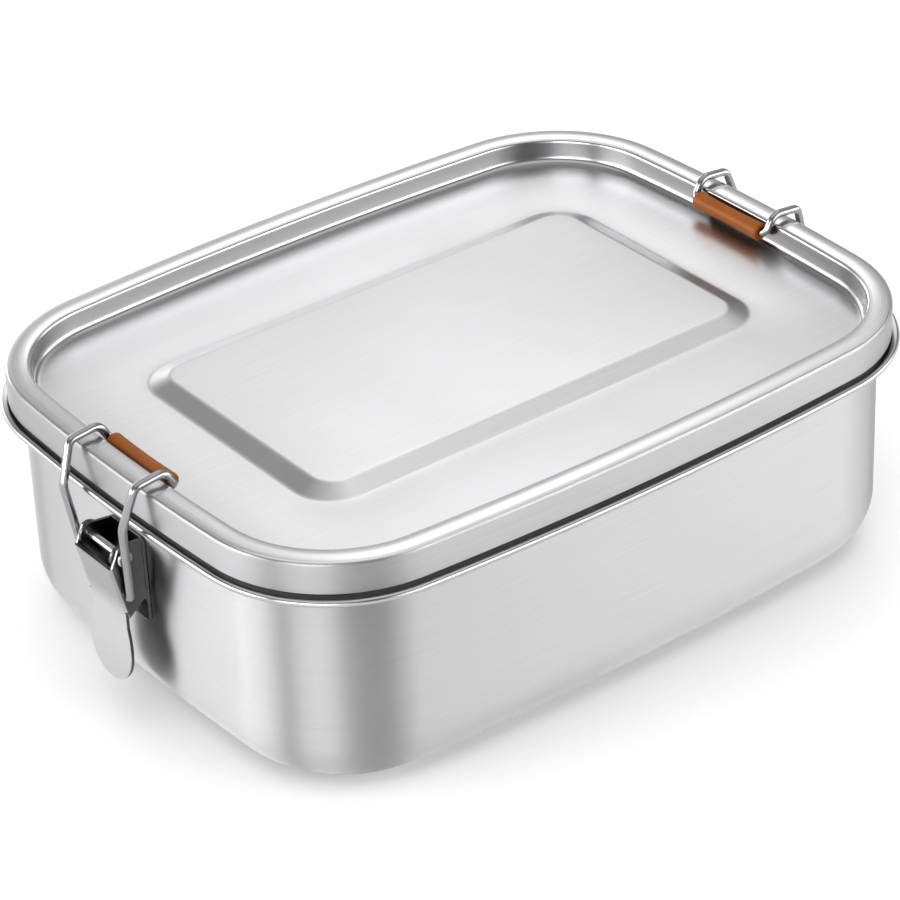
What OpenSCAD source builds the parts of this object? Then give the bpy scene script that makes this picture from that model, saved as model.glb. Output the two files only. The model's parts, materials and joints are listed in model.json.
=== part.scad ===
/* [Box] */
// Length over the rolled bead
box_l = 200; // [194:1:206]
// Width over the rolled bead
box_w = 153.4; // [150:0.1:157]
// Height from the table to the top of the lid's rim
box_h = 66.5; // [66:0.1:67]
// How far each long side bows outward
bow_long = 5.6; // [4:0.1:7]
// How far each short side bows outward
bow_short = 4.6; // [4:0.1:6]
// Corner radius at the bead
corner_r = 37.6; // [35:0.1:40]
// Thickness of the steel sheet
sheet = 0.6; // [0.5:0.1:0.7]

/* [Tub] */
// Radius of the rolled bead
bead_r = 0.9; // [0.8:0.05:1]
// Height of the bead's centre
bead_z = 56.6; // [56.4:0.1:56.8]
// Distance from the bead's outer edge in to the wall
wall_in = 5.4; // [5.3:0.1:5.6]
// Radius between the wall and the base
base_r = 14; // [10:0.5:16]

/* [Lid] */
// Distance from the bead's outer edge in to the lid's skirt
skirt_in = 2; // [1.9:0.1:2.1]
// Height of the skirt's lower edge
skirt_z = 58.2; // [58:0.1:58.6]
// Width of the flat top of the rim, between its rounded edges
rim_w = 4.4; // [4.2:0.1:4.6]
// Radius of the rim's outer edge
rim_r = 0.9; // [0.8:0.1:1]
// Depth of the sunk panel below the rim
recess = 6.4; // [6.2:0.1:6.5]
// Radius between the rim's inner wall and the sunk panel
recess_r = 1.6; // [1:0.1:2]
// Length of the raised centre panel, at its foot
panel_l = 133.6; // [128:0.2:138]
// Width of the raised centre panel, at its foot
panel_w = 78; // [70:1:84]
// Corner radius of the raised centre panel, at its foot
panel_r = 11; // [8:0.5:14]
// Height of the raised centre panel
panel_h = 2; // [1:0.1:2.4]
// Width of the slope round the centre panel
panel_slope = 4.4; // [3:0.1:6]

/* [Latches] */
// Diameter of the bail's wire
wire_d = 2.1; // [1.9:0.1:2.1]
// Distance between the middles of the bail's two arms where they cross the rim
bail_w = 27; // [26.6:0.1:27.4]
// Diameter of the silicone sleeve
sleeve_d = 4.6; // [4:0.1:4.8]
// Length of the silicone sleeve
sleeve_l = 23.8; // [20:0.1:24]
// Width of the lever over its two flanges
lever_w = 15.5; // [15.4:0.1:15.6]
// Width of the thumb tab at its widest
tab_w = 17; // [16:0.1:17.4]
// Thickness of the lever and bracket plates
plate = 0.8; // [0.7:0.05:0.8]
// Radius of the hinge pin
pin_r = 1.1; // [1:0.05:1.2]

/* [Hidden] */
$fn = 48;

// Steps along one quadrant of the outline: short side, corner, long side
SHORT_STEPS = 5;
CORNER_STEPS = 12;
LONG_STEPS = 7;
// Steps round a small edge radius and round the base radius
EDGE_STEPS = 4;
BASE_STEPS = 7;

flange_top = bead_z + bead_r - 0.3;      // upper face of the flange that the seal rests on
lid_floor = box_h - recess;              // upper face of the sunk panel
channel_in = skirt_in + sheet;           // channel of the lid's rim, outer side
inner_edge = skirt_in + rim_r + rim_w;   // where the rim's top turns down into the recess
recess_wall = inner_edge + rim_r;        // face of the rim's inner wall, towards the recess
channel_end = recess_wall - sheet;       // channel of the lid's rim, inner side
channel_top = box_h - sheet;
seal_gap = 0.08;                         // the seal lies this far off the steel
panel_bow = 0.05;                        // how far the raised panel's sides bow outward

// Latch points as [distance out from the wall, height]
wall_x = box_l / 2 - wall_in;
pivot = [6.3, 46.6];                     // hinge pin
bail_pivot = [6.4, 36.3];                // where the bail's ends sit in the lever
bail_knee = [8.8, 57.6];
bail_shoulder = [5.3, 68.0];
bail_crest = [-2.8, 68.9];
bail_bar = [-5.4, 64.2];                 // the crossbar, inside the rim
lever_top = [10.35, 44.9];               // outer face of the lever's plate, top edge
lever_bend = [6.9, 29.4];                // where the thumb tab starts
tab_tip = [8.2, 10.9];
ear_r = 3.1;
heel = [2.7, 35.2];                      // centre of the flange's rounded back corner
heel_r = 1.5;
ear_y = 5.95;                            // inner face of each bracket ear
wire_r = wire_d / 2;
flange_y = lever_w / 2 - plate;          // inner face of each lever flange
arm_y = lever_w / 2 + 0.25 + wire_r;     // middle of a bail arm beside the lever
knee_y = 12.3;                           // middle of a bail arm at the knee
bracket_w = 13.9;
bracket_z = [26.2, 49.4];
running = 0.05;                          // radial clearance of the hinge pin and of the bail's ends
snug = 0.02;                             // radial clearance of parts that don't turn

// ---- outline: a rounded rectangle with bowed sides, moved inward by an inset ----

function bow_radius(half, sag) = (half * half + sag * sag) / (2 * sag);

// Centre of the corner arc that touches both bowed sides, in the first quadrant
function corner_centre(y_long, r_long, x_short, r_short) =
    let (d = norm([x_short, y_long]),
         t = (r_long * r_long - r_short * r_short + d * d) / (2 * d),
         h = sqrt(max(r_long * r_long - t * t, 0)),
         u = [x_short, -y_long] / d)
    [t * u.x + h * abs(u.y), y_long + t * u.y + h * abs(u.x)];

function polar(c, r, a) = [c.x + r * cos(a), c.y + r * sin(a)];

// One quadrant, from the middle of the short side to the middle of the long side
function quadrant(a, b, bow_a, bow_b, r, inset) =
    let (ra = bow_radius(a, bow_a),
         rb = bow_radius(b, bow_b),
         ca = [0, b - ra],
         cb = [a - rb, 0],
         c = corner_centre(ca.y, ra - r, cb.x, rb - r),
         p1 = atan2(c.y, c.x - cb.x),
         p2 = atan2(c.y - ca.y, c.x))
    concat(
        [for (i = [0 : SHORT_STEPS - 1]) polar(cb, rb - inset, p1 * i / SHORT_STEPS)],
        [for (i = [0 : CORNER_STEPS - 1]) polar(c, r - inset, p1 + (p2 - p1) * i / CORNER_STEPS)],
        [for (i = [0 : LONG_STEPS]) polar(ca, ra - inset, p2 + (90 - p2) * i / LONG_STEPS)]);

// The whole outline, anticlockwise
function whole(q) =
    let (n = len(q) - 1)
    concat([for (i = [0 : n - 1]) q[i]],
           [for (i = [n : -1 : 1]) [-q[i].x, q[i].y]],
           [for (i = [0 : n - 1]) [-q[i].x, -q[i].y]],
           [for (i = [n : -1 : 1]) [q[i].x, -q[i].y]]);

function at_height(outline, z) = [for (p = outline) [p.x, p.y, z]];

// A ring of the box at [inset, height]
function box_ring(p) =
    at_height(whole(quadrant(box_l / 2, box_w / 2, bow_long, bow_short, corner_r, p[0])), p[1]);

// A ring of the raised panel at [inset, height], with nearly straight sides
function panel_ring(p) =
    at_height(whole(quadrant(panel_l / 2, panel_w / 2, panel_bow, panel_bow, panel_r, p[0])), p[1]);

// Points of a small arc in [inset, height], from angle a0 to a1
function bend(c, r, a0, a1, steps) =
    [for (i = [0 : steps]) let (a = a0 + (a1 - a0) * i / steps) [c[0] - r * cos(a), c[1] + r * sin(a)]];

// Skins over a list of rings; closed rings meet end to end, else the ends are capped
module loft(rings, ring_shut = false) {
    n = len(rings[0]);
    m = len(rings);
    last = ring_shut ? m - 1 : m - 2;
    points = [for (r = rings) each r];
    sides = [for (i = [0 : last], j = [0 : n - 1], half = [0, 1])
        let (i1 = (i + 1) % m, j1 = (j + 1) % n)
        half == 0 ? [i * n + j, i1 * n + j, i1 * n + j1] : [i * n + j, i1 * n + j1, i * n + j1]];
    caps = ring_shut ? [] : [[for (j = [0 : n - 1]) j], [for (j = [n - 1 : -1 : 0]) (m - 1) * n + j]];
    polyhedron(points, concat(sides, caps), convexity = 10);
}

// ---- the body and the lid ----

module tub() {
    color("silver")
        loft([for (p = concat(
            bend([wall_in + base_r, base_r], base_r, -90, 0, BASE_STEPS),
            [[wall_in, bead_z - 1.6]],
            bend([wall_in - 1, bead_z - 1.6], -1, 0, -90, EDGE_STEPS),
            bend([bead_r, bead_z], bead_r, -60, 90, 8),
            [[2 * bead_r, flange_top]],
            bend([wall_in + sheet - 1.6, flange_top - 1.6], -1.6, -90, 0, EDGE_STEPS),
            bend([wall_in + base_r, base_r], base_r - sheet, 0, -90, BASE_STEPS)))
            box_ring(p)]);
}

module lid() {
    foot = lid_floor - sheet;
    color("gainsboro")
        loft(concat(
            [panel_ring([panel_slope + 0.8, foot + panel_h]),
             panel_ring([panel_slope, foot + panel_h - 0.1]),
             panel_ring([0.8, foot + 0.1]),
             panel_ring([0, foot])],
            [for (p = concat(
                bend([recess_wall + recess_r, foot + recess_r + sheet], recess_r + sheet, -90, 0, EDGE_STEPS),
                bend([channel_end - 0.4, channel_top - 0.4], -0.4, 0, -90, 1),
                [[channel_in + 0.4, channel_top], [channel_in, channel_top - 0.4], [channel_in, skirt_z],
                 [skirt_in, skirt_z]],
                bend([skirt_in + rim_r, box_h - rim_r], rim_r, 0, 90, EDGE_STEPS),
                bend([inner_edge, box_h - rim_r], -rim_r, -90, 0, EDGE_STEPS),
                bend([recess_wall + recess_r, lid_floor + recess_r], recess_r, 0, -90, EDGE_STEPS)))
                box_ring(p)],
            [panel_ring([0, lid_floor]),
             panel_ring([0.8, lid_floor + 0.1]),
             panel_ring([panel_slope, lid_floor + panel_h - 0.1]),
             panel_ring([panel_slope + 0.8, lid_floor + panel_h])]));
}

// A silicone ring: a thick body in the channel with a narrower lip down to the tub's flange
module lid_seal() {
    out = channel_in + 0.4 + seal_gap;
    in = channel_end - 0.4 - seal_gap;
    color("whitesmoke")
        loft([for (p = [[in - 0.5, flange_top + seal_gap], [out + 0.5, flange_top + seal_gap],
                        [out, skirt_z + 1.4], [out, channel_top - seal_gap],
                        [in, channel_top - seal_gap], [in, skirt_z + 1.4]])
            box_ring(p)], ring_shut = true);
}

// ---- the latches, drawn with x out from the wall and placed at either end ----

module at_end(side) {
    if (side == "left") mirror([1, 0, 0]) translate([wall_x, 0, 0]) children();
    else translate([wall_x, 0, 0]) children();
}

// Stands an outline drawn in [out, height] on edge, from y0 to y0 + depth
module on_edge(y0, depth) {
    translate([0, y0 + depth, 0]) rotate([90, 0, 0]) linear_extrude(depth) children();
}

// A cylinder across the latch, from y0 to y1
module across(p, r, y0, y1) {
    translate([p[0], y1, p[1]]) rotate([90, 0, 0]) cylinder(h = y1 - y0, r = r);
}

// Steel plate on the wall, with two ears that hold the pin
module bracket(side) {
    back = 0.05;
    color("darkgray") at_end(side)
        union() {
            translate([back, -bracket_w / 2, bracket_z[0]])
                cube([plate, bracket_w, bracket_z[1] - bracket_z[0]]);
            for (y0 = [-ear_y - plate, ear_y])
                on_edge(y0, plate) difference() {
                    union() {
                        translate(pivot) circle(r = ear_r);
                        polygon([[back, 31], [pivot[0] + ear_r * cos(-35), pivot[1] + ear_r * sin(-35)],
                                 [pivot[0] + ear_r * cos(100), pivot[1] + ear_r * sin(100)],
                                 [back, bracket_z[1]]]);
                    }
                    translate(pivot) circle(r = pin_r + snug);
                }
        }
}

module hinge_pin(side) {
    head_y = lever_w / 2 + 0.1;
    head_h = 0.7;
    color("lightgray") at_end(side) union() {
        across(pivot, pin_r, -head_y, head_y);
        across(pivot, 2, head_y, head_y + head_h);
        across(pivot, 2, -head_y - head_h, -head_y);
    }
}

// Lays a flat shape along the line from a to b: its x runs across the latch, its y from a to b
module along(a, b) {
    tilt = atan2(b[0] - a[0], a[1] - b[1]);
    translate([a[0], 0, a[1]]) rotate([0, -tilt, 0]) rotate([90, 0, -90])
        mirror([0, 1, 0]) linear_extrude(plate) children();
}

// Folded steel plate with a flange on each side and a round thumb tab
module lever(side) {
    plate_l = norm(lever_top - lever_bend);
    tab_l = norm(lever_bend - tab_tip);
    tab_r = tab_w / 2;
    neck = 7.2;
    lap = 0.5;
    edge = 0.02;
    inward = plate * [-1, 0];
    color("silver") at_end(side)
        union() {
            along(lever_top, lever_bend) translate([-lever_w / 2 - edge, 0]) square([lever_w + 2 * edge, plate_l]);
            along(lever_bend, tab_tip) {
                translate([0, tab_l - tab_r]) circle(r = tab_r);
                polygon([[-neck, -lap], [neck, -lap], [tab_r * cos(12), tab_l - tab_r - tab_r * sin(12)],
                         [-tab_r * cos(12), tab_l - tab_r - tab_r * sin(12)]]);
            }
            for (y0 = [-flange_y - plate, flange_y])
                on_edge(y0, plate) difference() {
                    union() {
                        translate(pivot) circle(r = ear_r);
                        translate(heel) circle(r = heel_r);
                        polygon([pivot + 0.9 * ear_r * [cos(60), sin(60)], lever_top + inward / 2,
                                 lever_bend + inward / 2, heel + 0.95 * heel_r * [cos(-115), sin(-115)],
                                 heel + 0.95 * heel_r * [cos(185), sin(185)],
                                 pivot + 0.9 * ear_r * [cos(190), sin(190)]]);
                    }
                    translate(pivot) circle(r = pin_r + running);
                    translate(bail_pivot) circle(r = wire_r + running);
                }
        }
}

// Straight round wire between two points
module wire(a, b) {
    d = b - a;
    translate(a) rotate([0, acos(d.z / norm(d)), atan2(d.y, d.x)]) cylinder(h = norm(d), r = wire_r);
}

// One bent steel wire: its ends sit in the lever and its crossbar hooks inside the lid's rim
module bail(side) {
    end_y = flange_y - 0.1;
    half = bail_w / 2;
    elbow_r = wire_r + 0.1;
    color("lightgray") at_end(side)
        union() {
            for (s = [-1, 1]) {
                path = [[bail_pivot[0], s * end_y, bail_pivot[1]],
                        [bail_pivot[0], s * arm_y, bail_pivot[1]],
                        [bail_knee[0], s * knee_y, bail_knee[1]],
                        [bail_shoulder[0], s * half, bail_shoulder[1]],
                        [bail_crest[0], s * half, bail_crest[1]],
                        [bail_bar[0], s * half, bail_bar[1]]];
                for (i = [0 : len(path) - 2]) wire(path[i], path[i + 1]);
                for (i = [1 : len(path) - 1]) translate(path[i]) sphere(r = elbow_r);
            }
            across(bail_bar, wire_r, -half, half);
        }
}

module sleeve(side) {
    color("peru") at_end(side)
        difference() {
            across(bail_bar, sleeve_d / 2, -sleeve_l / 2, sleeve_l / 2);
            across(bail_bar, wire_r + snug, -sleeve_l, sleeve_l);
        }
}

tub();
lid();
lid_seal();
bracket("left");  // bracket_left
bracket("right");  // bracket_right
hinge_pin("left");  // hinge_pin_left
hinge_pin("right");  // hinge_pin_right
lever("left");  // lever_left
lever("right");  // lever_right
bail("left");  // bail_left
bail("right");  // bail_right
sleeve("left");  // sleeve_left
sleeve("right");  // sleeve_right
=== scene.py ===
"""Latched steel lunch box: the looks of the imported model."""
import json
import math

import bmesh
import bpy
from mathutils import Matrix, Vector


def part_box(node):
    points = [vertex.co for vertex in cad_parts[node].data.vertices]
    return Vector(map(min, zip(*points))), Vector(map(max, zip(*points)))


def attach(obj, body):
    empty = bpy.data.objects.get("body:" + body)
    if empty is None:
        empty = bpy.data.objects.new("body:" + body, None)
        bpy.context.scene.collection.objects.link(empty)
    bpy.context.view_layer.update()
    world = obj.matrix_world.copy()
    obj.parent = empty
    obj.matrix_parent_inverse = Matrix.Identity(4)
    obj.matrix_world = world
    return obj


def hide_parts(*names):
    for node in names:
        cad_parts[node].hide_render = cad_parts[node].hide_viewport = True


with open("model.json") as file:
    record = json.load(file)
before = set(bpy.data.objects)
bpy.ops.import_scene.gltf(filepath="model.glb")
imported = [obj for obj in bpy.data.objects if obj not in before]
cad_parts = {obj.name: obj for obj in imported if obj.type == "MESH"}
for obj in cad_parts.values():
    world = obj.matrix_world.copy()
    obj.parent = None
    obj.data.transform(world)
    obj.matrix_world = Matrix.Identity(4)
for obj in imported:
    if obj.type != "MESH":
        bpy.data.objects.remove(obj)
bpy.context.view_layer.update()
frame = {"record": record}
MM = 0.001

# ---------------------------------------------------------------- sizes, mm

TUB_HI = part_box("tub")[1]
LID_LO, LID_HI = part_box("lid")
HALF_L = TUB_HI.x / MM
HALF_W = TUB_HI.y / MM
TOP = LID_HI.z / MM
SKIRT_Z = LID_LO.z / MM
SKIRT_IN = (TUB_HI.x - LID_HI.x) / MM
SHEET = 0.6

# The outline, the same for the tub and the lid
BOW_LONG, BOW_SHORT = 5.6, 4.6
CORNER_R = 37.6
STEPS = (8, 30, 14)

# The tub: its bead, its flange, its wall and its rounded bottom edge
BEAD_R = 0.9
BEAD_Z = TUB_HI.z / MM - BEAD_R
FLANGE_TOP = BEAD_Z + BEAD_R - 0.3
FLANGE_BEND_OUT, FLANGE_BEND_IN = 1.0, 1.6
FLANGE_DROP, WALL_DROP = 1.6, 2.4
WALL_IN = 5.4
WALL_X = HALF_L - WALL_IN
BASE_R, BASE_FLAT, BASE_CROWN = 14.0, 22.0, 0.12
WALL_LEVELS = (BASE_R + 2, 25, 35, 45)
BASE_STEEL_TOP = 1.5

# The lid: its rim, the small bends of its channel, its sunk floor and its raised centre panel
RIM_W, RIM_R = 4.4, 0.9
RIM_CROWN = 0.16
CHANNEL_R, SKIRT_EDGE = 0.4, 0.12
RECESS, RECESS_R = 6.4, 1.6
PANEL_L, PANEL_W, PANEL_R, PANEL_BOW = 133.6, 78.0, 11.0, 0.05
PANEL_H, PANEL_SLOPE = 2.0, 4.8
PANEL_BEND, PANEL_SOFT = 3.2, 0.7
PANEL_CROWN = 0.5
# How far the sunk floor stands up, by the share of the way in from the rim to the panel
FLOOR_CROWN = [(0.15, 0.14), (0.3, 0.25), (0.45, 0.30), (0.6, 0.28), (0.75, 0.20), (0.9, 0.08)]


# ---------------------------------------------------------------- outline


def bow_radius(half, sag):
    """Radius of the arc that bulges by sag over a side of the given half length."""
    return (half * half + sag * sag) / (2 * sag)


def quadrant(a, b, bow_a, bow_b, r, inset, steps):
    """One quarter of a rounded rectangle with bowed sides, moved inward by inset."""
    ra, rb = bow_radius(a, bow_a), bow_radius(b, bow_b)
    ya, xb = b - ra, a - rb
    # The corner's arc touches both side arcs from inside, so its centre is where two circles meet
    d = math.hypot(xb, ya)
    t = ((ra - r) ** 2 - (rb - r) ** 2 + d * d) / (2 * d)
    h = math.sqrt(max((ra - r) ** 2 - t * t, 0))
    ux, uy = xb / d, -ya / d
    cx, cy = t * ux + h * abs(uy), ya + t * uy + h * abs(ux)
    p1, p2 = math.atan2(cy, cx - xb), math.atan2(cy - ya, cx)
    arcs = (
        (xb, 0, rb - inset, 0, p1, steps[0]),
        (cx, cy, r - inset, p1, p2, steps[1]),
        (0, ya, ra - inset, p2, math.pi / 2, steps[2]),
    )
    points = []
    for x, y, rad, a0, a1, n in arcs:
        for i in range(n):
            ang = a0 + (a1 - a0) * i / n
            points.append((x + rad * math.cos(ang), y + rad * math.sin(ang)))
    points.append((0, b - inset))
    return points


def whole(q):
    """The full outline, mirrored from its first quarter."""
    n = len(q) - 1
    return (
        q[:n]
        + [(-x, y) for x, y in q[n:0:-1]]
        + [(-x, -y) for x, y in q[:n]]
        + [(x, -y) for x, y in q[n:0:-1]]
    )


def box_ring(inset, z):
    """The box's outline moved inward by inset, at height z."""
    q = quadrant(HALF_L, HALF_W, BOW_LONG, BOW_SHORT, CORNER_R, inset, STEPS)
    return [(x, y, z) for x, y in whole(q)]


def box_rings(places):
    """One box ring for each (inset, height)."""
    return [box_ring(inset, z) for inset, z in places]


def panel_ring(inset, z):
    """The raised centre panel's outline moved inward by inset, at height z."""
    q = quadrant(PANEL_L / 2, PANEL_W / 2, PANEL_BOW, PANEL_BOW, PANEL_R, inset, STEPS)
    return [(x, y, z) for x, y in whole(q)]


def mixed(ring_a, ring_b, t):
    """The ring a share t of the way from one ring to the other."""
    return [tuple(p + (q - p) * t for p, q in zip(a, b)) for a, b in zip(ring_a, ring_b)]


def bend(c, r, a0, a1, steps):
    """Points of a small arc in (inset, height)."""
    out = []
    for i in range(steps + 1):
        a = math.radians(a0 + (a1 - a0) * i / steps)
        out.append((c[0] - r * math.cos(a), c[1] + r * math.sin(a)))
    return out


# ---------------------------------------------------------------- mesh helpers


def add_object(name, mesh, body, material, nodes=()):
    """Adds a mesh to the scene, riding on its body and replacing the CAD nodes named."""
    obj = bpy.data.objects.new(name, mesh)
    bpy.context.scene.collection.objects.link(obj)
    if material:
        mesh.materials.append(material)
    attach(obj, body)
    if nodes:
        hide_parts(*nodes)
    return obj


def smooth(mesh, angle=40):
    """Smooth shading that breaks at edges sharper than the angle in degrees."""
    mesh.polygons.foreach_set("use_smooth", [True] * len(mesh.polygons))
    mesh.set_sharp_from_angle(angle=math.radians(angle))
    return mesh


def loft_mesh(name, rings, shut=False):
    """Quads between rings; UV u runs along the ring and v across the rings, in metres."""
    n, m = len(rings[0]), len(rings)
    verts = [tuple(c * MM for c in p) for ring in rings for p in ring]
    faces = []
    for i in range(m if shut else m - 1):
        i1 = (i + 1) % m
        for j in range(n):
            j1 = (j + 1) % n
            faces.append((i * n + j, i * n + j1, i1 * n + j1, i1 * n + j))
    if not shut:
        faces.append(tuple(reversed(range(n))))
        faces.append(tuple((m - 1) * n + j for j in range(n)))
    mesh = bpy.data.meshes.new(name)
    mesh.from_pydata(verts, [], faces)
    around = [0.0]
    reference = rings[m // 2]
    for j in range(n):
        p, q = reference[j], reference[(j + 1) % n]
        around.append(around[-1] + math.hypot(q[0] - p[0], q[1] - p[1]) * MM)
    across = [0.0]
    for i in range(m):
        p, q = rings[i][0], rings[(i + 1) % m][0]
        across.append(across[-1] + math.dist(p, q) * MM)
    uv = mesh.uv_layers.new(name="along").data
    for poly in mesh.polygons:
        cap = poly.loop_total > 4
        seam = any(mesh.loops[k].vertex_index % n == n - 1 for k in poly.loop_indices)
        for k in poly.loop_indices:
            v = mesh.loops[k].vertex_index
            i, j = divmod(v, n)
            if cap:
                uv[k].uv = verts[v][:2]
                continue
            if shut and i == 0 and poly.index >= (m - 1) * n:
                i = m
            uv[k].uv = (around[n] if seam and j == 0 else around[j], across[i])
    flat = mesh.uv_layers.new(name="plan").data
    for loop in mesh.loops:
        flat[loop.index].uv = verts[loop.vertex_index][:2]
    return smooth(mesh)


def tube_mesh(name, path, radius, bends, sides=20, bend_steps=8):
    """A round wire along a path of corner points (mm), each inner corner rounded to its bend radius."""
    pts = [Vector(p) for p in path]
    line = [pts[0]]
    for a, b, c, bend_r in zip(pts, pts[1:], pts[2:], bends):
        u, v = (a - b).normalized(), (c - b).normalized()
        ang = u.angle(v)
        cut = min(bend_r / math.tan(ang / 2), (a - b).length * 0.48, (c - b).length * 0.48)
        r = cut * math.tan(ang / 2)
        centre = b + (u + v).normalized() * (r / math.sin(ang / 2))
        p, q = b + u * cut - centre, b + v * cut - centre
        axis = p.cross(q).normalized()
        turn = p.angle(q)
        for i in range(bend_steps + 1):
            line.append(centre + Matrix.Rotation(turn * i / bend_steps, 3, axis) @ p)
    line.append(pts[-1])
    verts, faces, lengths = [], [], [0.0]
    side = None
    for i, p in enumerate(line):
        ahead = line[min(i + 1, len(line) - 1)]
        behind = line[max(i - 1, 0)]
        t = (ahead - behind).normalized()
        if side is None:
            side = t.orthogonal().normalized()
        side = (side - t * side.dot(t)).normalized()
        up = t.cross(side)
        if i:
            lengths.append(lengths[-1] + (p - line[i - 1]).length * MM)
        for k in range(sides):
            a = 2 * math.pi * k / sides
            verts.append(p + radius * (math.cos(a) * side + math.sin(a) * up))
    rings = len(line)
    for i in range(rings - 1):
        for k in range(sides):
            k1 = (k + 1) % sides
            faces.append((i * sides + k, i * sides + k1, (i + 1) * sides + k1, (i + 1) * sides + k))
    faces.append(tuple(reversed(range(sides))))
    faces.append(tuple((rings - 1) * sides + k for k in range(sides)))
    mesh = bpy.data.meshes.new(name)
    mesh.from_pydata([tuple(v) for v in verts], [], faces)
    uv = mesh.uv_layers.new(name="along").data
    girth = 2 * math.pi * radius * MM
    for poly in mesh.polygons:
        seam = any(mesh.loops[k].vertex_index % sides == sides - 1 for k in poly.loop_indices)
        for k in poly.loop_indices:
            i, j = divmod(mesh.loops[k].vertex_index, sides)
            uv[k].uv = (lengths[i], girth * (1.0 if seam and j == 0 else j / sides))
    return smooth(mesh)


# ---------------------------------------------------------------- materials


class Nodes:
    """Short names for building a material's node tree."""

    def __init__(self, name):
        self.mat = bpy.data.materials.new(name)
        self.mat.use_nodes = True
        self.tree = self.mat.node_tree
        self.shader = self.tree.nodes["Principled BSDF"]

    def add(self, kind, **values):
        """A node with each value set as its property or, failing that, as its input."""
        node = self.tree.nodes.new(kind)
        for key, value in values.items():
            if hasattr(node, key):
                setattr(node, key, value)
            else:
                node.inputs[key.replace("_", " ").title()].default_value = value
        return node

    def link(self, a, b):
        self.tree.links.new(a, b)

    def streaks(self, uv_map, across, along, detail=3.0, rough=0.6):
        """Noise drawn out into fine parallel lines: its grain size across and along, in metres."""
        uv = self.add("ShaderNodeUVMap", uv_map=uv_map)
        scale = self.add("ShaderNodeMapping")
        scale.inputs["Scale"].default_value = (1 / along, 1 / across, 1)
        noise = self.add("ShaderNodeTexNoise", scale=1.0, detail=detail, roughness=rough)
        self.link(uv.outputs["UV"], scale.inputs["Vector"])
        self.link(scale.outputs["Vector"], noise.inputs["Vector"])
        return noise.outputs["Fac"]

    def cloud(self, size, detail=2.0):
        """Soft blotches of the given size in metres, fixed to the object."""
        where = self.add("ShaderNodeTexCoord")
        noise = self.add("ShaderNodeTexNoise", scale=1 / size, detail=detail)
        self.link(where.outputs["Object"], noise.inputs["Vector"])
        return noise.outputs["Fac"]

    def spread(self, fac, low, high, start=0.3, end=0.7):
        """Stretches values between start and end, which suit a noise, to run from low to high."""
        node = self.add("ShaderNodeMapRange")
        for key, value in zip(("From Min", "From Max", "To Min", "To Max"), (start, end, low, high)):
            node.inputs[key].default_value = value
        self.link(fac, node.inputs["Value"])
        return node.outputs["Result"]

    def shade(self, colour=None, rough=None, normal=None, **values):
        """Links the shader's varying inputs and sets its uniform ones."""
        for key, socket in (("Base Color", colour), ("Roughness", rough), ("Normal", normal)):
            if socket is not None:
                self.link(socket, self.shader.inputs[key])
        for key, value in values.items():
            name = key.replace("_", " ").title().replace("Ior", "IOR")
            self.shader.inputs[name].default_value = value

    def math(self, kind, a, b):
        """A sum or product, or another operation, of two values or sockets."""
        node = self.add("ShaderNodeMath", operation=kind)
        for socket, value in zip(node.inputs, (a, b)):
            if isinstance(value, (int, float)):
                socket.default_value = value
            else:
                self.link(value, socket)
        return node.outputs["Value"]

    def mix(self, kind, fac, first, second):
        """Mixes two colours, each one a red, green and blue or a socket."""
        node = self.add("ShaderNodeMix", data_type="RGBA", blend_type=kind)
        self.link(fac, node.inputs["Factor"])
        for socket, colour in zip([s for s in node.inputs if s.type == "RGBA"], (first, second)):
            if isinstance(colour, tuple):
                socket.default_value = (*colour, 1)
            else:
                self.link(colour, socket)
        return [s for s in node.outputs if s.type == "RGBA"][0]

    def tint(self, fac, dark, light):
        """A colour that runs from dark to light as fac runs from 0 to 1."""
        return self.mix("MIX", fac, dark, light)

    def part(self, source, axis):
        """One axis of a texture coordinate of the object."""
        where = self.add("ShaderNodeTexCoord")
        parts = self.add("ShaderNodeSeparateXYZ")
        self.link(where.outputs[source], parts.inputs["Vector"])
        return parts.outputs[axis]

    def painted_shade_on_ends(self, colour, keep):
        """Darkens a colour to its share keep on the panel's end slopes, where the surface leans along X:
        painted shade that stands in for a dimmer reflection there.
        """
        lean = self.math("ABSOLUTE", self.part("Normal", "X"), 0.0)
        return self.mix("MULTIPLY", self.spread(lean, 0.0, 1.0, 0.05, 0.36), colour, (keep, keep, keep))

    def bump(self, height, strength, distance, before=None):
        """Fine relief from a height, its distance in metres, on top of the relief given before."""
        node = self.add("ShaderNodeBump")
        node.inputs["Strength"].default_value = strength
        node.inputs["Distance"].default_value = distance
        self.link(height, node.inputs["Height"])
        if before is not None:
            self.link(before, node.inputs["Normal"])
        return node.outputs["Normal"]

    def tangent(self, uv_map):
        """Turns the anisotropic highlight with the UV map's u."""
        node = self.add("ShaderNodeTangent", direction_type="UV_MAP", uv_map=uv_map)
        self.link(node.outputs["Tangent"], self.shader.inputs["Tangent"])


def grey(level, blue=1.0):
    """A grey, a little blue where blue is above 1."""
    return (level, level, level * blue)


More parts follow.
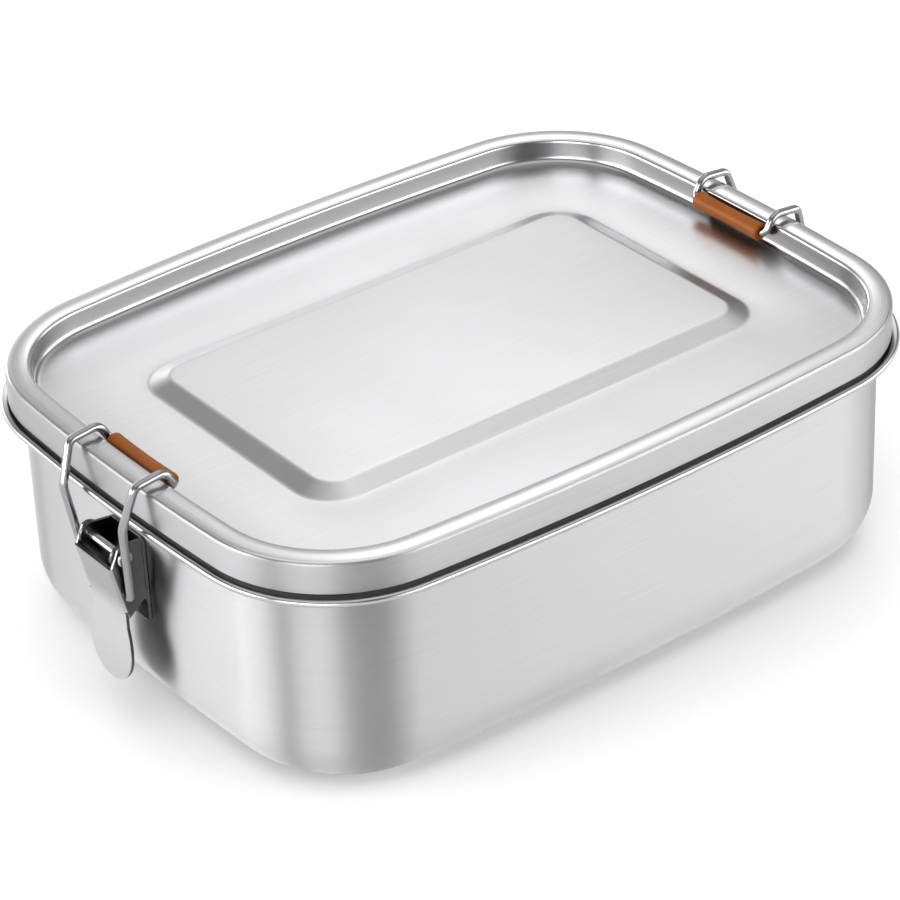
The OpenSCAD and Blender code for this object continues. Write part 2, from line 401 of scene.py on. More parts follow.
def brushed_steel(name, uv_map, rough=0.30, spread=0.10, aniso=0.75, grain=0.00016, tone=0.62, ends=None):
    """Brushed stainless sheet: lines along the UV map's u, soft drawing marks below them."""
    n = Nodes(name)
    fine = n.streaks(uv_map, grain, 0.030)
    broad = n.streaks(uv_map, grain * 6, 0.060, detail=4.0)
    soft = n.cloud(0.035)
    lines = n.math("ADD", n.math("MULTIPLY", fine, 0.75), n.math("MULTIPLY", broad, 0.25))
    colour = n.tint(n.spread(lines, 0, 1), grey(tone * 0.90, 1.017), grey(tone * 1.06, 1.014))
    # Painted shade: faces that lean along X are darkened
    if ends:
        colour = n.painted_shade_on_ends(colour, ends)
    line_rough = n.spread(lines, rough - spread / 2, rough + spread / 2)
    wavy = n.bump(soft, 0.25, 0.00005)
    n.tangent(uv_map)
    n.shade(
        colour=colour,
        rough=n.math("ADD", line_rough, n.spread(soft, -0.02, 0.02)),
        normal=n.bump(lines, 0.08, grain * 0.02, wavy),
        metallic=1.0,
        anisotropic=aniso,
        anisotropic_rotation=0.25,
    )
    return n.mat


def satin_steel(name, rough=0.22, tone=0.52, painted_shade_heights=None):
    """Rolled strip: a faint grain and soft handling marks; the optional heights (dull height, bright height),
    in metres, paint shade: above them the colour is darkened to stand in for a dim reflection, below them it
    stays light.
    """
    n = Nodes(name)
    where = n.add("ShaderNodeTexCoord")
    drawn = n.add("ShaderNodeMapping")
    drawn.inputs["Scale"].default_value = (1 / 0.0003, 1 / 0.012, 1 / 0.0003)
    n.link(where.outputs["Object"], drawn.inputs["Vector"])
    grain = n.add("ShaderNodeTexNoise", scale=1.0, detail=3.0)
    n.link(drawn.outputs["Vector"], grain.inputs["Vector"])
    lines = grain.outputs["Fac"]
    smudge = n.cloud(0.009, 2.0)
    dark, fac = tone * 0.94, lines
    # Painted shade: above the first height the colour darkens towards near-black, standing in for a dim
    # reflection; below the second height it stays light
    if painted_shade_heights:
        clear_of_painted_shade = n.spread(n.part("Object", "Z"), 0.0, 0.9, *painted_shade_heights)
        dark, fac = tone * 0.54, n.math("ADD", clear_of_painted_shade, n.math("MULTIPLY", lines, 0.1))
    n.shade(
        colour=n.tint(fac, grey(dark, 1.02), grey(tone * 1.04, 1.01)),
        rough=n.math("ADD", n.spread(lines, rough - 0.02, rough + 0.02), n.spread(smudge, -0.02, 0.03)),
        normal=n.bump(lines, 0.08, 0.000006),
        metallic=1.0,
    )
    return n.mat


def wire_steel(name):
    """Drawn wire: bright, with die lines along its length."""
    n = Nodes(name)
    lines = n.streaks("along", 0.0003, 0.02)
    n.shade(
        colour=n.tint(lines, (0.24, 0.24, 0.25), (0.36, 0.36, 0.37)),
        rough=n.spread(lines, 0.14, 0.24),
        normal=n.bump(lines, 0.15, 0.00001),
        metallic=1.0,
    )
    return n.mat


def silicone(name, dark, light, rough):
    """Moulded silicone: a soft satin skin with fine dust and slight mottling."""
    n = Nodes(name)
    dust = n.cloud(0.00025, 3.0)
    n.shade(
        colour=n.tint(n.cloud(0.004, 3.0), dark, light),
        rough=n.spread(dust, rough - 0.05, rough + 0.08),
        normal=n.bump(dust, 0.2, 0.00003),
        subsurface_weight=0.12,
        subsurface_radius=(0.002, 0.0008, 0.0003),
        subsurface_scale=1.0,
        ior=1.42,
        specular_ior_level=0.25,
    )
    return n.mat


WALL_STEEL = brushed_steel("wall_steel", "along", rough=0.46, aniso=0.97, tone=0.41)
SKIRT_STEEL = brushed_steel("skirt_steel", "along", rough=0.40, aniso=0.9, tone=0.36)
# ends=0.55 darkens the lid's end slopes, and the tub base where it leans along X, to 0.55 of their colour:
# painted shade
LID_STEEL = brushed_steel("lid_steel", "plan", rough=0.33, aniso=0.6, tone=0.62, ends=0.55)
RIM_STEEL = brushed_steel("rim_steel", "along", rough=0.24, spread=0.06, aniso=0.3, grain=0.0003, tone=0.60)
COVE_STEEL = brushed_steel("cove_steel", "along", rough=0.2, spread=0.05, aniso=0.2, grain=0.0003, tone=0.40)
BEAD_STEEL = brushed_steel("bead_steel", "along", rough=0.16, spread=0.04, aniso=0.2, grain=0.0003, tone=0.45)
LATCH_STEEL = satin_steel("latch_steel")
# The lever's upper plate is darkened by painted shade, standing in for its dim reflection; the thumb tab
# below stays light
LEVER_STEEL = satin_steel("lever_steel", tone=0.56, painted_shade_heights=(0.036, 0.030))
# A near-black copy of the satin steel: painted shade for the latch faces that lie in shade
LATCH_PAINTED_SHADE = satin_steel("latch_painted_shade_steel", 0.24, 0.12)
WIRE_STEEL = wire_steel("wire_steel")
ORANGE = silicone("orange_silicone", (0.165, 0.042, 0.002), (0.235, 0.064, 0.003), 0.40)
# The seal's near-black grey is painted shade, standing in for the shadowed gap under the lid's skirt
SEAL_PAINTED_SHADE = silicone("seal_silicone", grey(0.12), grey(0.16), 0.45)


# ---------------------------------------------------------------- tub, lid, seal


def set_materials(obj, choose, extra):
    """Adds the extra materials and picks one for each face from its middle and normal."""
    for mat in extra:
        obj.data.materials.append(mat)
    for poly in obj.data.polygons:
        poly.material_index = choose(poly.center / MM, poly.normal)


def dome(rings, rise, count=6):
    """Rings that carry the last ring on to the middle with a smooth crown."""
    edge = rings[-1]
    a, b = max(p[0] for p in edge), max(p[1] for p in edge)

    def crown(x, y):
        return rise * (1 - (x / a) ** 2) * (1 - (y / b) ** 2)

    for i in range(1, count + 1):
        s = 1 - i / (count + 0.5)
        rings.append([(x * s, y * s, z + crown(x * s, y * s) - crown(x, y) * s * s) for x, y, z in edge])


def make_tub():
    """One closed skin, from the middle of the underside out, over the bead and down inside."""
    inside = WALL_IN + SHEET
    foot = (WALL_IN + BASE_R, BASE_R)
    under_flange = BEAD_Z - BEAD_R - 0.2
    rings = [box_ring(WALL_IN + BASE_R + BASE_FLAT, 0.0)]
    rings += box_rings(bend(foot, BASE_R, -90, 0, 16))
    rings += [box_ring(WALL_IN, z) for z in WALL_LEVELS + (BEAD_Z - WALL_DROP,)]
    neck = (WALL_IN - FLANGE_BEND_OUT, BEAD_Z - FLANGE_DROP)
    rings += box_rings(bend(neck, -FLANGE_BEND_OUT, 0, -90, 6))
    rings += box_rings(bend((BEAD_R, BEAD_Z), BEAD_R, -60, 90, 14))
    rings.append(box_ring(2 * BEAD_R, FLANGE_TOP))
    mouth = (inside - FLANGE_BEND_IN, FLANGE_TOP - FLANGE_BEND_IN)
    rings += box_rings(bend(mouth, -FLANGE_BEND_IN, -90, 0, 8))
    rings += [box_ring(inside, z) for z in reversed(WALL_LEVELS)]
    rings += box_rings(bend(foot, BASE_R - SHEET, 0, -90, 16))
    dome(rings, BASE_CROWN)
    obj = add_object("tub_skin", loft_mesh("tub_skin", rings), "box", WALL_STEEL, ["tub"])

    def choose(c, normal):
        if c.z > under_flange:
            return 1
        return 2 if c.z < BASE_STEEL_TOP else 0

    set_materials(obj, choose, [BEAD_STEEL, LID_STEEL])


def panel_slope(z):
    """The centre panel's slope as (inset, height) from foot to top, with a soft bend at each end."""
    run = PANEL_SLOPE + 2 * PANEL_SOFT
    spare = 2 * PANEL_BEND - PANEL_H
    tilt = math.asin(2 * PANEL_BEND / math.hypot(run, spare)) - math.atan2(spare, run)
    lower = []
    for k in range(7):
        a = tilt * k / 6
        lower.append((PANEL_BEND * math.sin(a) - PANEL_SOFT, z + PANEL_BEND * (1 - math.cos(a))))
    return lower + [(PANEL_SLOPE - p, 2 * z + PANEL_H - q) for p, q in reversed(lower)]


def rim_rings(inner):
    """Over the rim from the skirt to its inner edge: a bend, a slight crown and a bend."""
    crest = TOP - RIM_CROWN
    rings = [box_ring(SKIRT_IN, z) for z in (SKIRT_Z + 0.5, crest - RIM_R - 0.4)]
    rings += box_rings(bend((SKIRT_IN + RIM_R, crest - RIM_R), RIM_R, 0, 80, 8))
    for k in range(1, 8):
        t = k / 8
        rings.append(box_ring(SKIRT_IN + RIM_R + RIM_W * t, crest + RIM_CROWN * (1 - (2 * t - 1) ** 2)))
    return rings + box_rings(bend((inner, crest - RIM_R), -RIM_R, -80, 0, 8))


def make_lid():
    """One closed skin, from the middle of the underside out, down the channel, over the rim and back in."""
    floor, foot = TOP - RECESS, TOP - RECESS - SHEET
    inner = SKIRT_IN + RIM_R + RIM_W
    wall = inner + RIM_R
    c_in, c_out, c_top = SKIRT_IN + SHEET, wall - SHEET, TOP - SHEET
    under_r = RECESS_R + SHEET
    edge = SKIRT_EDGE

    under = [panel_ring(p, z) for p, z in panel_slope(foot)][::-1]
    rings = [[(x * 0.3, y * 0.3, z) for x, y, z in under[0]]] + under
    rings += [mixed(under[-1], box_ring(wall + under_r, foot), t) for t in (0.3, 0.6, 0.9)]
    rings += box_rings(bend((wall + RECESS_R, foot + under_r), under_r, -90, 0, 8))
    rings += box_rings(bend((c_out - CHANNEL_R, c_top - CHANNEL_R), -CHANNEL_R, 0, -90, 3))
    rings += box_rings([(c_in + CHANNEL_R, c_top), (c_in, c_top - CHANNEL_R), (c_in, SKIRT_Z + edge)])
    rings += box_rings([(c_in - edge, SKIRT_Z), (SKIRT_IN + edge, SKIRT_Z), (SKIRT_IN, SKIRT_Z + edge)])
    rings += rim_rings(inner)
    rings.append(box_ring(wall, TOP - RIM_R - 0.3))
    rings += box_rings(bend((wall + RECESS_R, floor + RECESS_R), RECESS_R, 0, -90, 10))
    sunk = box_ring(wall + RECESS_R + 0.4, floor)
    rings.append(sunk)
    slope = [panel_ring(p, z) for p, z in panel_slope(floor)]
    for t, rise in FLOOR_CROWN:
        rings.append([(x, y, z + rise) for x, y, z in mixed(sunk, slope[0], t)])
    rings += slope
    dome(rings, PANEL_CROWN, 10)
    obj = add_object("lid_skin", loft_mesh("lid_skin", rings), "lid", LID_STEEL, ["lid"])

    def is_cove(c):
        """True outside the raised panel, where the rim's inner wall meets the sunk floor."""
        return abs(c.x) > PANEL_L / 2 + 4 or abs(c.y) > PANEL_W / 2 + 4

    def choose(c, normal):
        facing = c.x * normal.x + c.y * normal.y
        if facing > 0 and abs(normal.z) < 0.6 and c.z > floor - 2.5:
            return 2
        if c.z > TOP - 0.4:
            return 1
        return 3 if facing < 0 and c.z > floor + 0.12 and abs(normal.z) < 0.97 and is_cove(c) else 0

    set_materials(obj, choose, [RIM_STEEL, SKIRT_STEEL, COVE_STEEL])


def make_seal():
    """A ring in the lid's channel, drawn in a little from the steel round it."""
    gap = 0.08
    wall = SKIRT_IN + 2 * RIM_R + RIM_W
    out, inn = SKIRT_IN + SHEET + CHANNEL_R + gap, wall - SHEET - CHANNEL_R - gap
    low, top = FLANGE_TOP + gap, TOP - SHEET - gap
    knee = SKIRT_Z + 1.4
    profile = [(inn - 0.8, low), (out + 0.8, low), (out + 0.5, low + 0.3), (out, knee), (out, top - 0.2),
               (out + 0.2, top), (inn - 0.2, top), (inn, top - 0.2), (inn, knee), (inn - 0.5, low + 0.3)]
    mesh = loft_mesh("seal_ring", box_rings(profile), shut=True)
    add_object("seal_ring", mesh, "lid", SEAL_PAINTED_SHADE, ["lid_seal"])


# ---------------------------------------------------------------- latches


def joint_point(name):
    """A joint of the right latch as (distance out from the wall, height), mm."""
    joint = next(j for j in frame["record"]["behaviour"]["joints"] if j["name"] == name)
    x, _, z = joint["pos_m"]
    return (round(x / MM - WALL_X, 4), round(z / MM, 4))


PIVOT = joint_point("lever_right_turn")
BAIL_PIVOT = joint_point("bail_right_swing")

# More points of the right latch as (distance out from the wall, height), mm
KNEE, SHOULDER, CREST, BAR = (8.8, 57.6), (5.3, 68.0), (-2.8, 68.9), (-5.4, 64.2)
LEVER_TOP, LEVER_BEND, TAB_TIP = (10.35, 44.9), (6.9, 29.4), (8.2, 10.9)
HEEL, HEEL_R = (2.7, 35.2), 1.5

PLATE, PIN_R, WIRE_R = 0.8, 1.1, 1.05
PLAY, EAR_PLAY, BRACKET_GAP = 0.05, 0.03, 0.05
BRACKET_W, BRACKET_Z, BRACKET_R = 13.9, (26.2, 49.4), 1.2
EAR_Y, EAR_R, EAR_FOOT = 5.95, 3.1, 31.0
HEAD_R, HEAD_H, HEAD_EDGE = 2.0, 0.7, 0.15
LEVER_W, LEVER_FOLD, LEVER_LIP, LEVER_CUT = 15.5, 0.9, 0.95, 2.4
NECK_W, TAB_W = 14.0, 17.0
FLANGE_Y = LEVER_W / 2 - PLATE
ARM_Y, KNEE_Y, BAIL_HALF = 9.05, 12.3, 13.5
BAIL_BENDS = [1.3, 5.0, 2.4, 3.0, 1.9]
SLEEVE_R, SLEEVE_HALF, SLEEVE_EDGE, SLEEVE_WAIST = 2.3, 11.9, 0.55, 0.22


def circle(c, r, n=40, a0=0.0, a1=360.0, shut=True):
    """Points of a circle, or of an arc of it if not shut."""
    steps = n if shut else n - 1
    out = []
    for i in range(n):
        a = math.radians(a0 + (a1 - a0) * i / steps)
        out.append((c[0] + r * math.cos(a), c[1] + r * math.sin(a)))
    return out


def plate_mesh(name, outline, holes, thick, edge=0.12):
    """A flat plate in the XY plane with slightly rounded edges and round holes."""
    curve = bpy.data.curves.new(name, "CURVE")
    curve.dimensions = "2D"
    curve.fill_mode = "BOTH"
    for loop in [outline] + holes:
        spline = curve.splines.new("POLY")
        spline.points.add(len(loop) - 1)
        for point, (x, y) in zip(spline.points, loop):
            point.co = (x, y, 0, 1)
        spline.use_cyclic_u = True
    curve.bevel_depth = edge
    curve.bevel_resolution = 2
    curve.offset = -edge
    curve.extrude = thick / 2 - edge
    temp = bpy.data.objects.new(name, curve)
    mesh = bpy.data.meshes.new_from_object(temp)
    bpy.data.objects.remove(temp)
    bpy.data.curves.remove(curve)
    weld(mesh, 0.001)
    return mesh


def weld(mesh, gap):
    """Merges points closer than the gap and turns every face outward."""
    work = bmesh.new()
    work.from_mesh(mesh)
    bmesh.ops.remove_doubles(work, verts=work.verts, dist=gap)
    bmesh.ops.dissolve_degenerate(work, edges=work.edges, dist=gap / 4)
    bmesh.ops.recalc_face_normals(work, faces=work.faces)
    work.to_mesh(mesh)
    work.free()


def join(name, meshes):
    """One mesh out of several."""
    work = bmesh.new()
    for mesh in meshes:
        work.from_mesh(mesh)
    out = bpy.data.meshes.new(name)
    work.to_mesh(out)
    work.free()
    return out


def place(mesh, side):
    """From latch millimetres (out, across, up) to the frame, at the right or the left end."""
    turn = Matrix.Rotation(0 if side == "right" else math.pi, 4, "Z")
    mesh.transform(turn @ Matrix.Diagonal((MM, MM, MM, 1)) @ Matrix.Translation((WALL_X, 0, 0)))
    return mesh


def on_edge(mesh, y):
    """A plate drawn in (out, up) stands on edge with its middle at y."""
    mesh.transform(Matrix.Translation((0, y, 0)) @ Matrix.Rotation(math.pi / 2, 4, "X"))
    return mesh


def quarter(steps, first=0):
    """Angles of a quarter turn in radians, from step first to the last step."""
    return [math.radians(90 * k / steps) for k in range(first, steps + 1)]


def make_bracket(side):
    """A back plate on the wall with two ears standing on it."""
    z0, z1 = BRACKET_Z
    right, up = BRACKET_W / 2 - BRACKET_R, z1 - BRACKET_R
    left, down = -right, z0 + BRACKET_R
    corners = []
    for centre, start in (((right, up), 0), ((left, up), 90), ((left, down), 180), ((right, down), 270)):
        corners += circle(centre, BRACKET_R, 7, start, start + 90, False)
    back = plate_mesh("back", corners, [], PLATE)
    upright = Matrix(((0, 0, 1, 0), (1, 0, 0, 0), (0, 1, 0, 0), (0, 0, 0, 1)))
    back.transform(Matrix.Translation((BRACKET_GAP + PLATE / 2, 0, 0)) @ upright)
    ear_back = 2 * BRACKET_GAP
    outline = [(ear_back, EAR_FOOT)] + circle(PIVOT, EAR_R, 22, -35, 100, False) + [(ear_back, z1 - 0.4)]
    bore = circle(PIVOT, PIN_R + EAR_PLAY)
    pieces = [back]
    for s in (-1, 1):
        ear = plate_mesh("ear", outline, [bore], PLATE)
        pieces.append(on_edge(ear, s * (EAR_Y + PLATE / 2)))
    name = f"bracket_{side}_skin"
    mesh = place(smooth(join(name, pieces), 32), side)
    # The whole bracket takes the near-black steel: painted shade for its place in the shade behind the lever
    add_object(name, mesh, "box", LATCH_PAINTED_SHADE, [f"bracket_{side}"])


def make_pin(side):
    """A rivet with a domed head at each end."""
    head_y = LEVER_W / 2 + 0.1
    half = [(0, PIN_R), (head_y, PIN_R), (head_y, HEAD_R - HEAD_EDGE), (head_y + 0.12, HEAD_R)]
    for a in quarter(6):
        y = head_y + HEAD_EDGE + (HEAD_H - HEAD_EDGE) * math.sin(a)
        half.append((y, max(HEAD_R * math.cos(a), 0.02)))
    profile = [(-y, r) for y, r in half[::-1]] + half[1:]
    name = f"hinge_pin_{side}_skin"
    mesh = place(turned_mesh(name, profile, PIVOT), side)
    add_object(name, mesh, "box", LATCH_STEEL, [f"hinge_pin_{side}"])


def turned_mesh(name, profile, axis_point, sides=40, shut=False):
    """Turned about a line along Y; profile is (y, radius) from end to end, or a closed loop, in mm."""
    verts, faces = [], []
    for y, r in profile:
        for k in range(sides):
            a = 2 * math.pi * k / sides
            verts.append((axis_point[0] + r * math.cos(a), y, axis_point[1] + r * math.sin(a)))
    m = len(profile)
    for i in range(m if shut else m - 1):
        i1 = (i + 1) % m
        for k in range(sides):
            k1 = (k + 1) % sides
            faces.append((i * sides + k, i1 * sides + k, i1 * sides + k1, i * sides + k1))
    if not shut:
        faces.append(tuple(range(sides)))
        faces.append(tuple((m - 1) * sides + k for k in reversed(range(sides))))
    mesh = bpy.data.meshes.new(name)
    mesh.from_pydata(verts, [], faces)
    uv = mesh.uv_layers.new(name="along").data
    girth = 4 * math.pi * MM
    for poly in mesh.polygons:
        seam = any(mesh.loops[k].vertex_index % sides == sides - 1 for k in poly.loop_indices)
        for k in poly.loop_indices:
            i, j = divmod(mesh.loops[k].vertex_index, sides)
            uv[k].uv = (profile[i][0] * MM, girth * (1.0 if seam and j == 0 else j / sides))
    weld(mesh, 0.0005)
    return smooth(mesh, 50)


def lever_sheet():
    """The lever's front: a plate folded back at both edges, running on into a flat thumb tab."""
    top, low, tip = (Vector((p[0], 0, p[1])) for p in (LEVER_TOP, LEVER_BEND, TAB_TIP))
    plate_l, tab_l = (top - low).length, (low - tip).length
    half, neck, tab_r = LEVER_W / 2, NECK_W / 2, TAB_W / 2
    cut = LEVER_CUT
    d1, d2 = (low - top).normalized(), (tip - low).normalized()
    across = Vector((0, 1, 0))
    rows = []

    def row(centre, direction, outer, inner):
        out = direction.cross(across)
        rows.append(([centre + across * y - out * d for y, d in outer],
                     [centre + across * y - out * d for y, d in inner]))

    def folded(depth):
        """The folded plate across, as (across, depth), on its outer face or at a depth inside it."""
        radius = LEVER_FOLD - depth
        side = [(-half + depth, LEVER_LIP), (-half + depth, LEVER_FOLD)]
        for a in quarter(6, 1):
            side.append((-half + LEVER_FOLD - radius * math.cos(a), LEVER_FOLD - radius * math.sin(a)))
        middle = [(-side[-1][0] * (i / 6 - 1), depth) for i in range(1, 12)]
        return side + middle + [(-y, d) for y, d in reversed(side)]

    outer_face, inner_face = folded(0.0), folded(PLATE)
    count = len(outer_face)
    for k in range(9):
        row(top + d1 * (plate_l - cut) * k / 8, d1, outer_face, inner_face)

    def flat_row(centre, direction, w):
        ys = [w * (2 * i / (count - 1) - 1) for i in range(count)]
        row(centre, direction, [(y, 0) for y in ys], [(y, PLATE) for y in ys])

    for k in range(7):
        t = k / 6
        a = low - d1 * cut * (1 - t)
        b = low + d2 * cut * t
        w = half - 0.05 + (neck - half + 0.05) * min(1, 2 * t)
        flat_row(a + (b - a) * t, d1.lerp(d2, t).normalized(), w)
    centre_s = tab_l - tab_r
    for k in range(1, 9):
        t = k / 8
        s = cut + (centre_s - cut) * t
        w = neck + (tab_r - neck) * (1 - (1 - t) ** 2)
        flat_row(low + d2 * s, d2, w)
    for k in range(1, 15):
        a = math.radians(90 * k / 14 * 0.985)
        flat_row(low + d2 * (centre_s + tab_r * math.sin(a)), d2, tab_r * math.cos(a))
    n, m = len(rows), count
    verts = [tuple(p) for o, i in rows for p in o] + [tuple(p) for o, i in rows for p in i]
    faces, off = [], n * m
    for i in range(n - 1):
        for j in range(m - 1):
            a, b, c, d = i * m + j, i * m + j + 1, (i + 1) * m + j + 1, (i + 1) * m + j
            faces.append((a, b, c, d))
            faces.append((off + a, off + d, off + c, off + b))
    edge = [j for j in range(m)] + [i * m + m - 1 for i in range(1, n)]
    edge += [(n - 1) * m + j for j in range(m - 2, -1, -1)] + [i * m for i in range(n - 2, 0, -1)]
    for p, q in zip(edge, edge[1:] + edge[:1]):
        faces.append((q, p, off + p, off + q))
    mesh = bpy.data.meshes.new("lever_sheet")
    mesh.from_pydata(verts, [], faces)
    weld(mesh, 0.0005)
    return mesh


def make_lever(side):
    """The folded front sheet with a flange standing behind each of its long edges."""
    sunk = 0.02
    inward = -0.45
    ear = circle(PIVOT, EAR_R, 22, 60, 190, False)
    shape = ear + circle(HEEL, HEEL_R, 14, 168, 226, False)
    shape += [(LEVER_BEND[0] + inward, LEVER_BEND[1] + 0.6), (LEVER_TOP[0] + inward, LEVER_TOP[1])]
    holes = [circle(PIVOT, PIN_R + PLAY), circle(BAIL_PIVOT, WIRE_R + PLAY)]
    pieces = [lever_sheet()]
    for s in (-1, 1):
        flange = plate_mesh("flange", shape, holes, PLATE - sunk)
        pieces.append(on_edge(flange, s * (FLANGE_Y + PLATE / 2 - sunk)))
    name = f"lever_{side}_skin"
    mesh = smooth(join(name, pieces), 32)
    mesh.materials.append(LEVER_STEEL)
    # Faces not turned outward from the wall (flanges, folded edges, inner face) take the near-black steel:
    # painted shade
    mesh.materials.append(LATCH_PAINTED_SHADE)
    for poly in mesh.polygons:
        poly.material_index = 0 if poly.normal.x > 0.3 else 1
    body = f"latch_lever_{side}"
    add_object(name, place(mesh, side), body, None, [f"lever_{side}"])


def make_bail(side):
    """One wire from a hole in the lever, up, over the rim, across as a bar and back down."""
    stops = [(BAIL_PIVOT, FLANGE_Y - 0.1), (BAIL_PIVOT, ARM_Y), (KNEE, KNEE_Y)]
    stops += [(point, BAIL_HALF) for point in (SHOULDER, CREST, BAR)]
    half = [(p[0], -y, p[1]) for p, y in stops]
    path = half + [(x, -y, z) for x, y, z in reversed(half)]
    name = f"bail_{side}_skin"
    mesh = place(tube_mesh(name, path, WIRE_R, BAIL_BENDS + BAIL_BENDS[::-1], sides=24), side)
    add_object(name, mesh, f"latch_bail_{side}", WIRE_STEEL, [f"bail_{side}"])


def make_sleeve(side):
    """A soft tube on the bail's bar, a little slimmer at its waist, with rounded ends."""
    bore, soft = WIRE_R + 0.02, SLEEVE_EDGE
    straight = SLEEVE_HALF - soft
    rim = [(straight + soft * math.sin(a), SLEEVE_R - soft + soft * math.cos(a)) for a in quarter(7)]
    rim += [(SLEEVE_HALF, bore + 0.15), (SLEEVE_HALF - 0.15, bore)]
    body = []
    for k in range(1, 16):
        share = k / 8 - 1
        body.append((straight * share, SLEEVE_R - SLEEVE_WAIST * (1 - share ** 2)))
    profile = [(-y, r) for y, r in reversed(rim)] + body + rim
    name = f"sleeve_{side}_skin"
    mesh = place(turned_mesh(name, profile, BAR, shut=True), side)
    add_object(name, mesh, f"latch_bail_{side}", ORANGE, [f"sleeve_{side}"])


make_tub()
make_lid()
make_seal()
for end in ("left", "right"):
    make_bracket(end)
    make_pin(end)
    make_lever(end)
    make_bail(end)
    make_sleeve(end)


# ---------------------------------------------------------------- floor, light, camera


def make_floor():
    """White paper out to the horizon of every view."""
    mesh = bpy.data.meshes.new("floor")
    corners = [(x * FLOOR_REACH, y * FLOOR_REACH, 0) for x, y in ((-1, -1), (1, -1), (1, 1), (-1, 1))]
    mesh.from_pydata(corners, [], [(0, 1, 2, 3)])
    obj = bpy.data.objects.new("floor", mesh)
    bpy.context.scene.collection.objects.link(obj)
    n = Nodes("floor_paper")
    n.shade(
        colour=n.tint(n.cloud(0.8, 4.0), grey(0.90), grey(0.92)),
        roughness=0.9,
        specular_ior_level=0.1,
    )
    mesh.materials.append(n.mat)


def ramp(tree, stops):
    """A soft run of grey levels, one for each (place from 0 to 1, level)."""
    node = tree.nodes.new("ShaderNodeValToRGB")
    node.color_ramp.interpolation = "EASE"
    marks = node.color_ramp.elements
    while len(marks) > 1:
        marks.remove(marks[-1])
    marks[0].position = stops[0][0]
    marks[0].color = (*grey(stops[0][1]), 1)
    for where, level in stops[1:]:
        mark = marks.new(where)
        mark.color = (*grey(level), 1)
    return node


def make_world():
    """A studio round the box: soft boxes near the horizon, one larger box behind, and a dim ceiling."""
    world = bpy.data.worlds.new("studio")
    bpy.context.scene.world = world
    world.use_nodes = True
    tree = world.node_tree
    ground = tree.nodes["Background"]
    where = tree.nodes.new("ShaderNodeTexCoord")
    parts = tree.nodes.new("ShaderNodeSeparateXYZ")
    tree.links.new(where.outputs["Generated"], parts.inputs["Vector"])
    angle = tree.nodes.new("ShaderNodeMath")
    angle.operation = "ARCTAN2"
    tree.links.new(parts.outputs["Y"], angle.inputs[0])
    tree.links.new(parts.outputs["X"], angle.inputs[1])
    turn = tree.nodes.new("ShaderNodeMapRange")
    turn.inputs["From Min"].default_value = -math.pi
    turn.inputs["From Max"].default_value = math.pi
    tree.links.new(angle.outputs["Value"], turn.inputs["Value"])
    rise = tree.nodes.new("ShaderNodeMath")
    rise.operation = "ARCSINE"
    tree.links.new(parts.outputs["Z"], rise.inputs[0])
    tilt = tree.nodes.new("ShaderNodeMapRange")
    tilt.inputs["From Min"].default_value = -math.pi / 2
    tilt.inputs["From Max"].default_value = math.pi / 2
    tree.links.new(rise.outputs["Value"], tilt.inputs["Value"])

    def around(stops):
        node = ramp(tree, [((deg + 180) / 360, level / PEAK) for deg, level in stops])
        tree.links.new(turn.outputs["Result"], node.inputs["Fac"])
        return node.outputs["Color"]

    def height(stops):
        node = ramp(tree, [((deg + 90) / 180, level / PEAK) for deg, level in stops])
        tree.links.new(tilt.outputs["Result"], node.inputs["Fac"])
        return node.outputs["Color"]

    def combine(kind, a, b):
        """The sum or product of a socket and a socket or number."""
        node = tree.nodes.new("ShaderNodeMath")
        node.operation = kind
        tree.links.new(a, node.inputs[0])
        if isinstance(b, (int, float)):
            node.inputs[1].default_value = b
        else:
            tree.links.new(b, node.inputs[1])
        return node.outputs["Value"]

    low = combine("MULTIPLY", height(LOW_HEIGHT), around(LOW_AROUND))
    back = combine("MULTIPLY", height(BACK_HEIGHT), around(BACK_AROUND))
    lit = combine("MULTIPLY", combine("ADD", low, back), PEAK * PEAK)
    total = combine("ADD", lit, combine("MULTIPLY", height(CEILING), PEAK))
    tree.links.new(total, ground.inputs["Strength"])
    ground.inputs["Color"].default_value = (1, 1, 1, 1)


def area_light(name, place_at, look_at, size, power):
    """A rectangular light with its size in metres and its power in watts."""
    data = bpy.data.lights.new(name, "AREA")
    data.shape = "RECTANGLE"
    data.size, data.size_y = size
    data.energy = power
    obj = bpy.data.objects.new(name, data)
    obj.location = place_at
    obj.rotation_mode = "QUATERNION"
    obj.rotation_quaternion = (Vector(look_at) - Vector(place_at)).to_track_quat("-Z", "Y")
    bpy.context.scene.collection.objects.link(obj)
    return obj


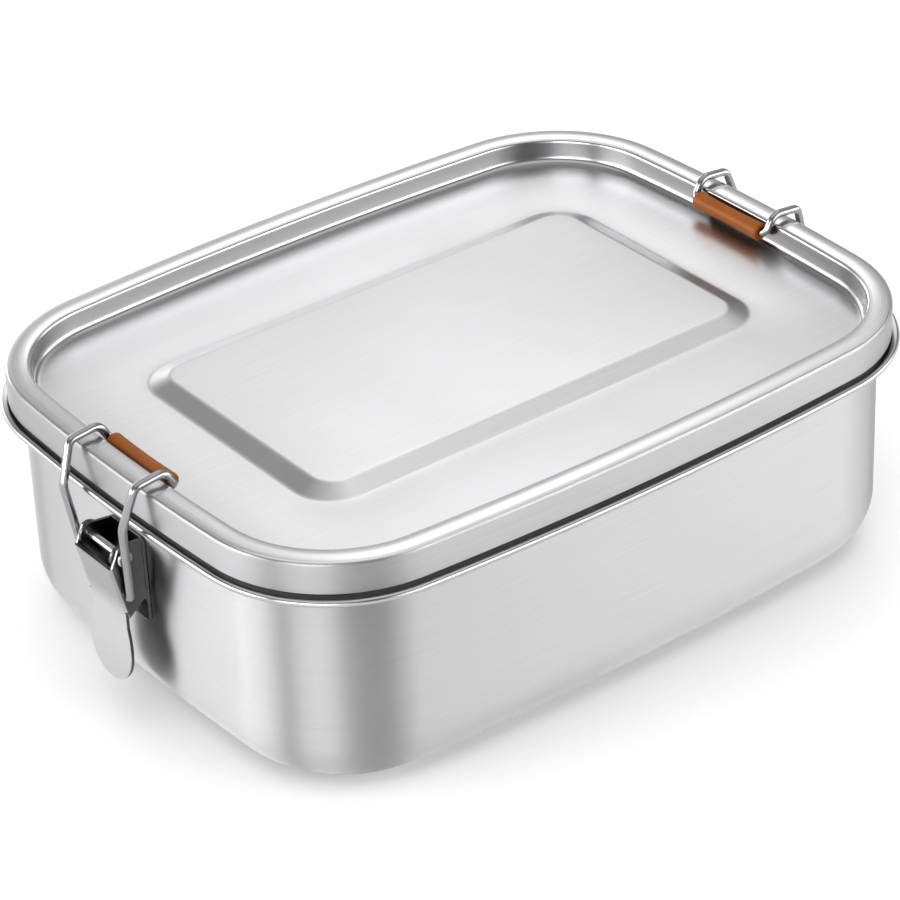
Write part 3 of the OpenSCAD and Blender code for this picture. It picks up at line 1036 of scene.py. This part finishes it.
def make_camera():
    """The photo's camera, turned round its target by azimuth, elevation and roll."""
    azimuth, elevation, roll = map(math.radians, CAMERA_ANGLES)
    level = math.cos(elevation)
    back = Vector((math.sin(azimuth) * level, -math.cos(azimuth) * level, math.sin(elevation)))
    right = (-back).cross(Vector((0, 0, 1))).normalized()
    up = right.cross(-back)
    x_axis = math.cos(roll) * right + math.sin(roll) * up
    y_axis = -math.sin(roll) * right + math.cos(roll) * up
    data = bpy.data.cameras.new("camera")
    data.sensor_width = 36.0
    data.lens = CAMERA_LENS
    data.clip_start, data.clip_end = 0.05, 60.0
    obj = bpy.data.objects.new("camera", data)
    turn = Matrix((x_axis, y_axis, back)).transposed().to_4x4()
    spot = Vector(CAMERA_TARGET) * MM + back * CAMERA_DISTANCE * MM
    spot += right * CAMERA_SHIFT[0] * MM + up * CAMERA_SHIFT[1] * MM
    obj.matrix_world = Matrix.Translation(spot) @ turn
    bpy.context.scene.collection.objects.link(obj)
    bpy.context.scene.camera = obj


# Studio levels by angle in degrees: heights run from -90 to 90, and the way round from -180 to 180.
# The low lights stand round the walls, and the back lights hang where the lid mirrors them.
PEAK = 14.0
LOW_HEIGHT = [(-90, 1.0), (5, 1.0), (20, 0.6), (30, 0.0), (90, 0.0)]
LOW_AROUND = [
    (-180, 5.0), (-172, 0.4), (-161, 6.4), (-148, 8.2), (-136, 7.0), (-124, 1.2), (-110, 0.0), (-96, 0.0),
    (-82, 3.4), (-68, 7.2), (-55, 7.8), (-48, 8.6), (-20, 4.6), (6, 0.3), (50, 0.3), (62, 0.8), (80, 5.4),
    (100, 2.8), (117, 1.5), (129, 6.0), (143, 9.5), (152, 11.5), (160, 9.8), (172, 9.0), (180, 5.0),
]
BACK_HEIGHT = [(-90, 0.0), (24, 0.05), (29, 0.6), (35, 1.35), (43, 1.35), (54, 0.2), (90, 0.0)]
BACK_AROUND = [
    (-180, 0.1), (-60, 0.1), (5, 0.3), (15, 0.5), (38, 0.65), (46, 1.2), (52, 2.35), (58, 0.8), (67, 0.3),
    (78, 0.2), (95, 0.1), (180, 0.1),
]
CEILING = [(-90, 0.3), (0, 0.2), (30, 0.2), (48, 0.25), (58, 1.15), (90, 1.1)]
FLOOR_REACH = 20.0

# The camera: azimuth, elevation and roll in degrees, and distances in mm
CAMERA_ANGLES = (-36.47, 31.74, -2.48)
CAMERA_LENS = 141.76
CAMERA_TARGET = (0, 0, 30.435)
CAMERA_DISTANCE = 870.16
CAMERA_SHIFT = (-1.56, 0.42)

make_floor()
make_world()
make_camera()
fill = area_light("fill", (0, 0, 2.4), (0, 0, 0), (3.0, 3.0), 20)
fill.visible_glossy = False

bpy.context.scene.view_settings.view_transform = "Standard"
